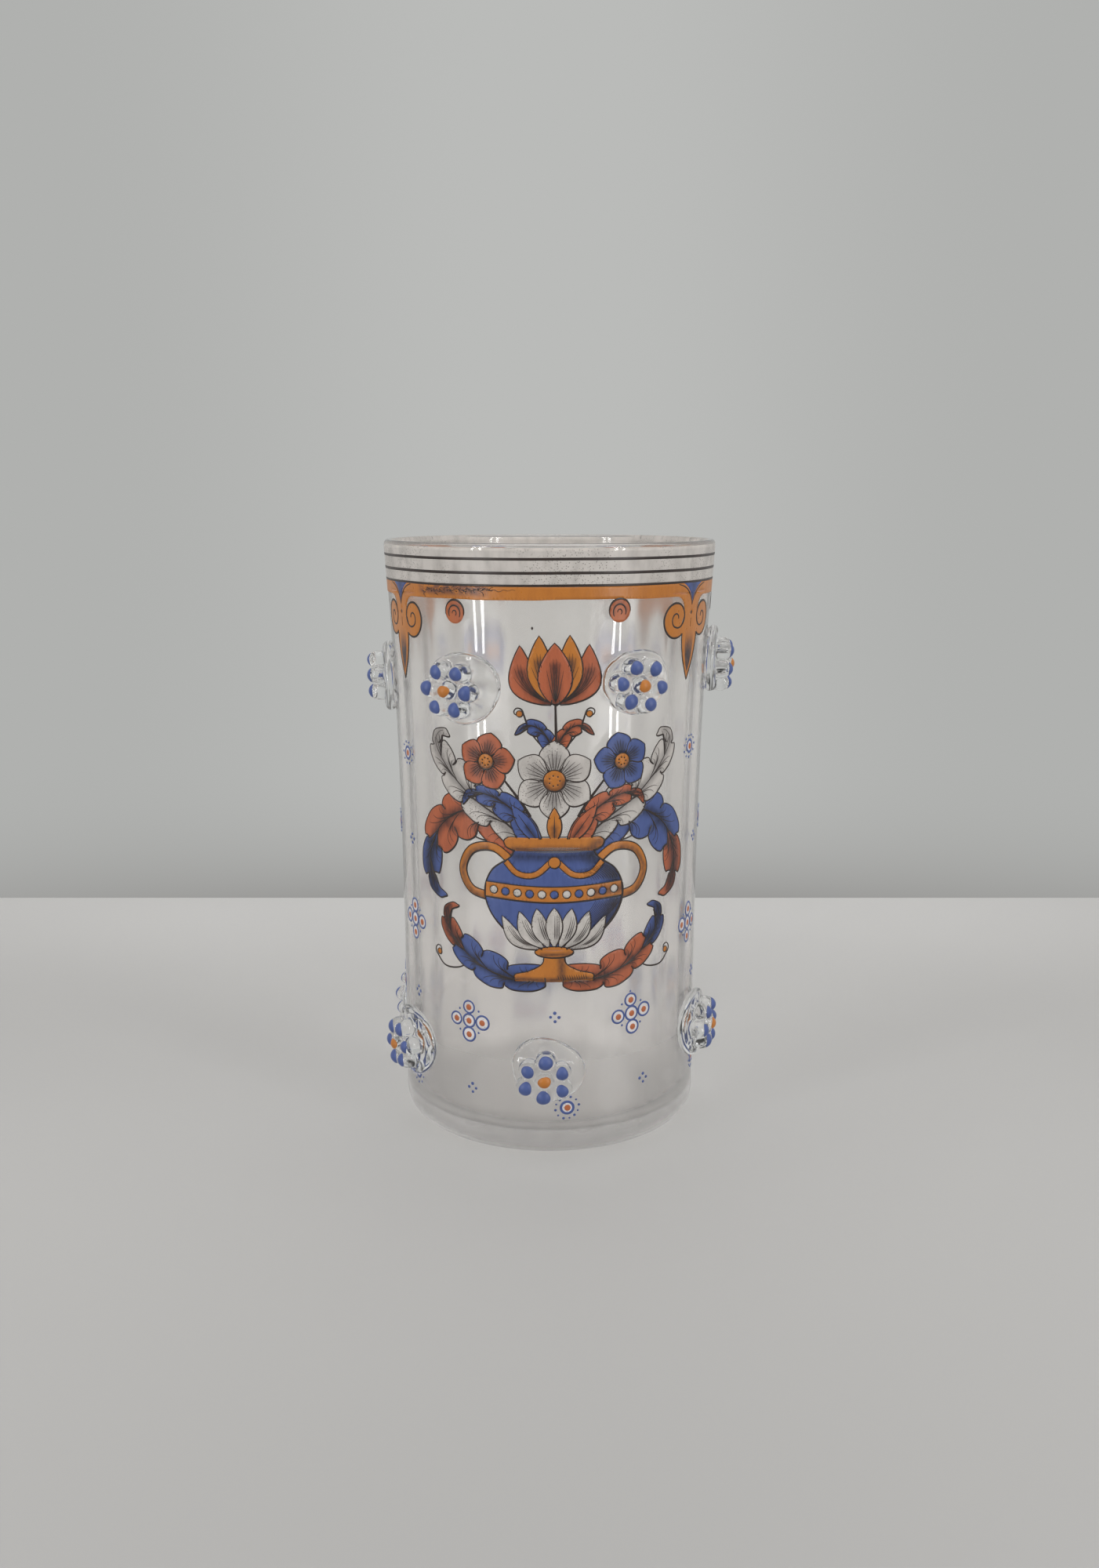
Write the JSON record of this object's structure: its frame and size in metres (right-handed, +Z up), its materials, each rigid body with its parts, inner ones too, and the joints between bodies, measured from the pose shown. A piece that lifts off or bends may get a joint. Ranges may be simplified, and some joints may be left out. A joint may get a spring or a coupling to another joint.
{
  "type": "glass vase",
  "caption": "Straight beaker-shaped blown glass vase with a rounded lip and foot and applied raspberry prunts, enamelled with a jar of flowers and dot ornaments.",
  "frame": {"origin": "centre of the foot, on the surface that the vase stands on", "axes": "+Z up along the vase's axis, -Y towards the painted front, +X to the right as the front is seen"},
  "size_m": [0.1262, 0.121, 0.2],
  "materials": {
    "clear_glass": "clear, slightly hazy blown glass with soft upright ribs",
    "prunt_glass": "clear glossy hot-worked glass",
    "enamel_white": "thin white fired enamel, pitted",
    "enamel_blue": "raised blue fired enamel",
    "enamel_gold": "ochre gold fired enamel with brush marks",
    "enamel_coral": "rust coral fired enamel",
    "enamel_black": "black brown painted outline"
  },
  "bodies": {
    "root": {"glass_body": "clear_glass", "prunt_upper_front_left": "prunt_glass", "prunt_upper_front_right": "prunt_glass", "prunt_upper_right": "prunt_glass", "prunt_upper_back_right": "prunt_glass", "prunt_upper_back_left": "prunt_glass", "prunt_upper_left": "prunt_glass", "prunt_lower_front": "prunt_glass", "prunt_lower_right": "prunt_glass", "prunt_lower_back_right": "prunt_glass", "prunt_lower_back": "prunt_glass", "prunt_lower_back_left": "prunt_glass", "prunt_lower_left": "prunt_glass"}
  },
  "joints": []
}
